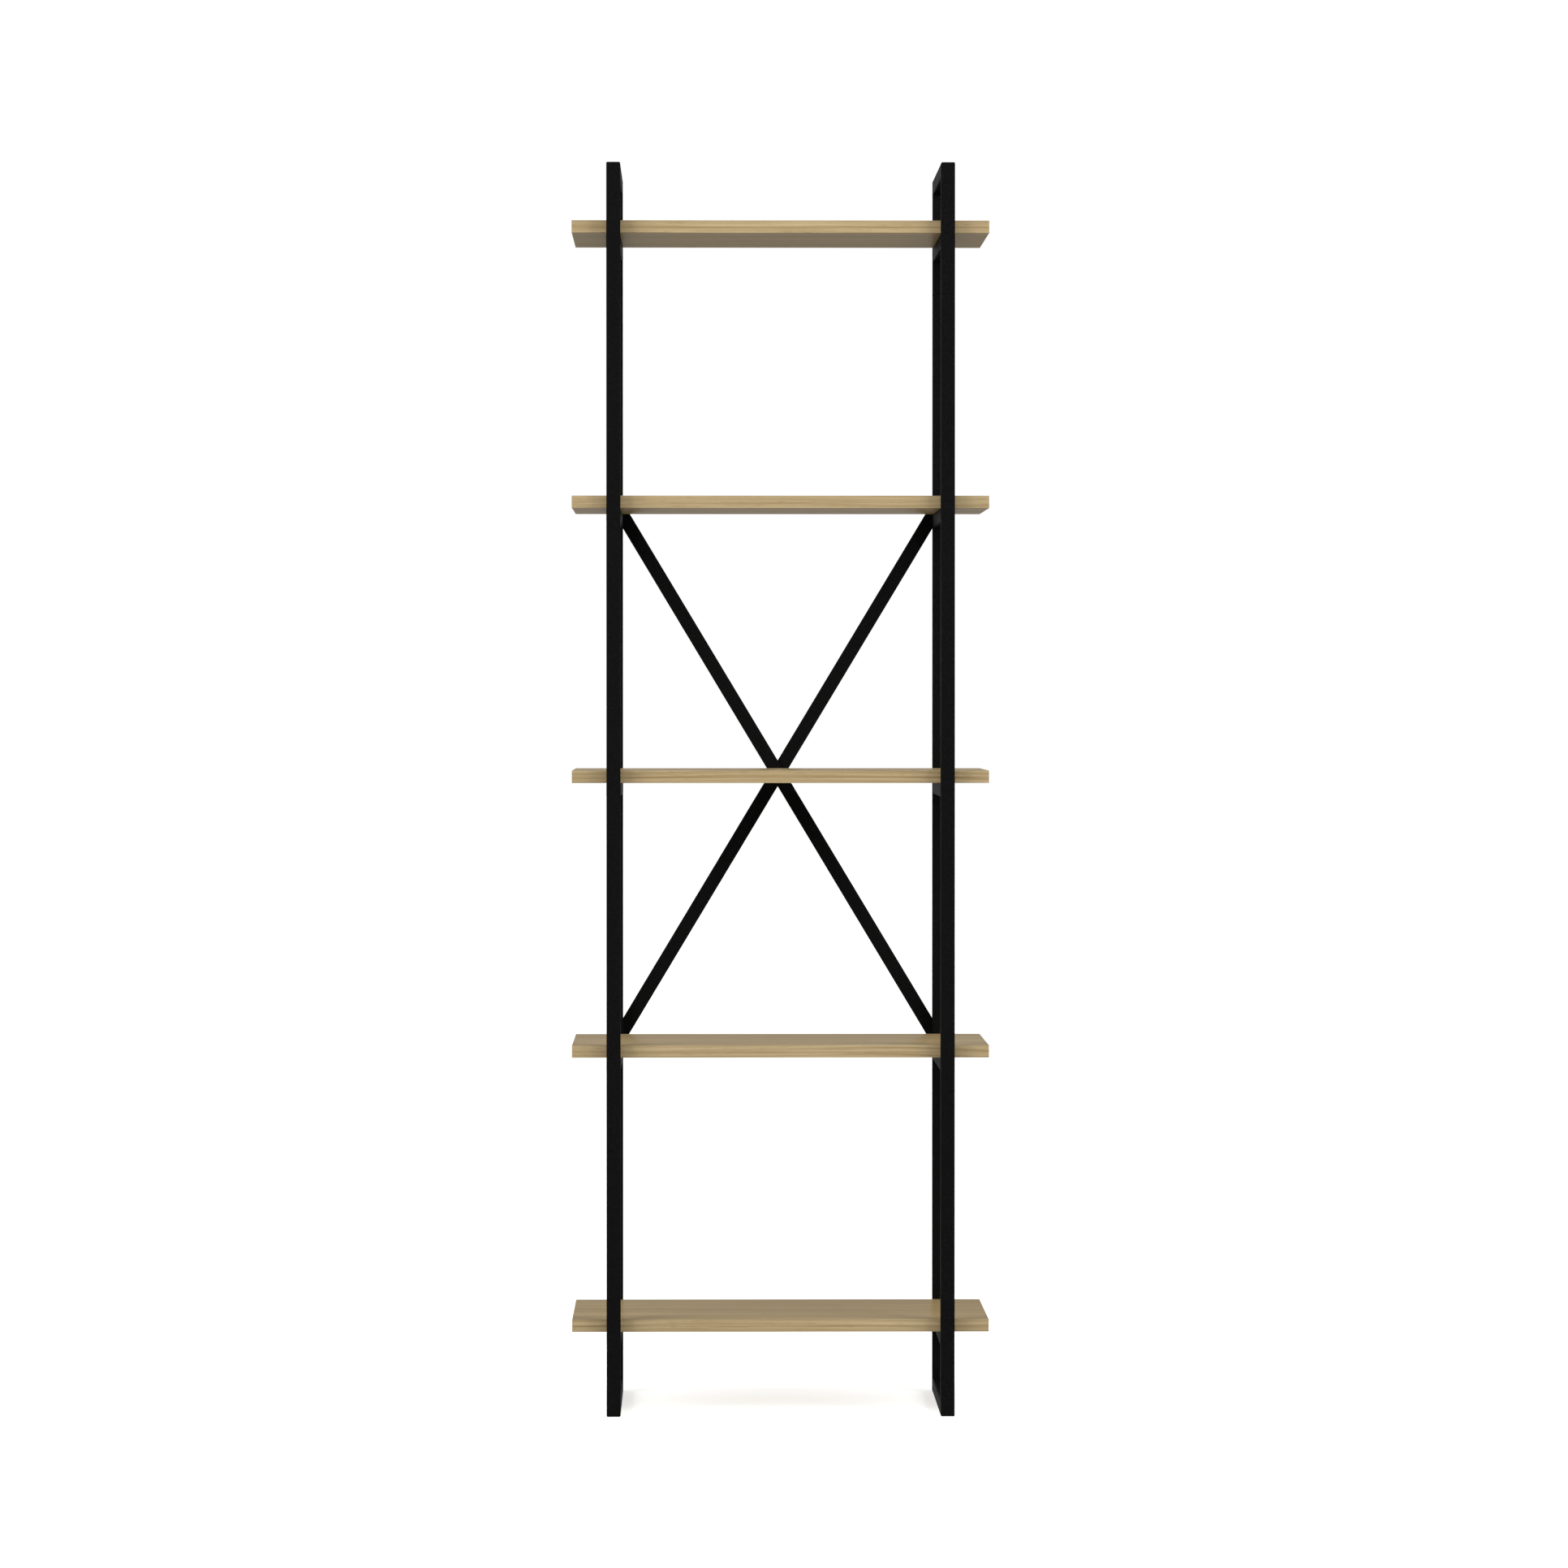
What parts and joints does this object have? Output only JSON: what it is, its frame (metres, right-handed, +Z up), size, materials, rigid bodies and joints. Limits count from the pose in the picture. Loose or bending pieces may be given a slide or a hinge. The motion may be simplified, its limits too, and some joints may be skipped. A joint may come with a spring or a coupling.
{
  "type": "bookcase",
  "caption": "Tall open bookcase: welded square-tube side frames, oak-decor shelves that reach past them, and a crossed flat-bar brace at the back, for books and ornaments.",
  "frame": {"origin": "on the floor, under the centre of the overall box", "axes": "+Z up, +Y to the rear, where the brace is, +X to the right of someone facing the front"},
  "size_m": [0.6, 0.3464, 1.8],
  "materials": {
    "black_powder_coat": "matte, fine texture",
    "oak_decor_board": "melamine-faced chipboard in a light oak decor",
    "oak_edge_band": "ABS edge band in the same oak decor",
    "zinc_plated_steel": "bright zinc plating",
    "black_oxide_steel": "blackened, satin"
  },
  "bodies": {
    "root": {"brace_crossing_nut": "zinc_plated_steel", "brace_joggled_bar": "black_powder_coat", "brace_rivet_nuts": "zinc_plated_steel", "brace_screws": "black_oxide_steel", "brace_straight_bar": "black_powder_coat", "left_bottom_rail": "black_powder_coat", "left_front_post": "black_powder_coat", "left_rear_post": "black_powder_coat", "left_shelf_rail_1": "black_powder_coat", "left_shelf_rail_2": "black_powder_coat", "left_shelf_rail_3": "black_powder_coat", "left_shelf_rail_4": "black_powder_coat", "left_shelf_rail_5": "black_powder_coat", "left_top_rail": "black_powder_coat", "right_bottom_rail": "black_powder_coat", "right_front_post": "black_powder_coat", "right_rear_post": "black_powder_coat", "right_shelf_rail_1": "black_powder_coat", "right_shelf_rail_2": "black_powder_coat", "right_shelf_rail_3": "black_powder_coat", "right_shelf_rail_4": "black_powder_coat", "right_shelf_rail_5": "black_powder_coat", "right_top_rail": "black_powder_coat", "shelf_1_board": "oak_decor_board", "shelf_1_front_band": "oak_edge_band", "shelf_1_left_band": "oak_edge_band", "shelf_1_rear_band": "oak_edge_band", "shelf_1_right_band": "oak_edge_band", "shelf_1_screws": "zinc_plated_steel", "shelf_2_board": "oak_decor_board", "shelf_2_front_band": "oak_edge_band", "shelf_2_left_band": "oak_edge_band", "shelf_2_rear_band": "oak_edge_band", "shelf_2_right_band": "oak_edge_band", "shelf_2_screws": "zinc_plated_steel", "shelf_3_board": "oak_decor_board", "shelf_3_front_band": "oak_edge_band", "shelf_3_left_band": "oak_edge_band", "shelf_3_rear_band": "oak_edge_band", "shelf_3_right_band": "oak_edge_band", "shelf_3_screws": "zinc_plated_steel", "shelf_4_board": "oak_decor_board", "shelf_4_front_band": "oak_edge_band", "shelf_4_left_band": "oak_edge_band", "shelf_4_rear_band": "oak_edge_band", "shelf_4_right_band": "oak_edge_band", "shelf_4_screws": "zinc_plated_steel", "shelf_5_board": "oak_decor_board", "shelf_5_front_band": "oak_edge_band", "shelf_5_left_band": "oak_edge_band", "shelf_5_rear_band": "oak_edge_band", "shelf_5_right_band": "oak_edge_band", "shelf_5_screws": "zinc_plated_steel"}
  },
  "joints": []
}
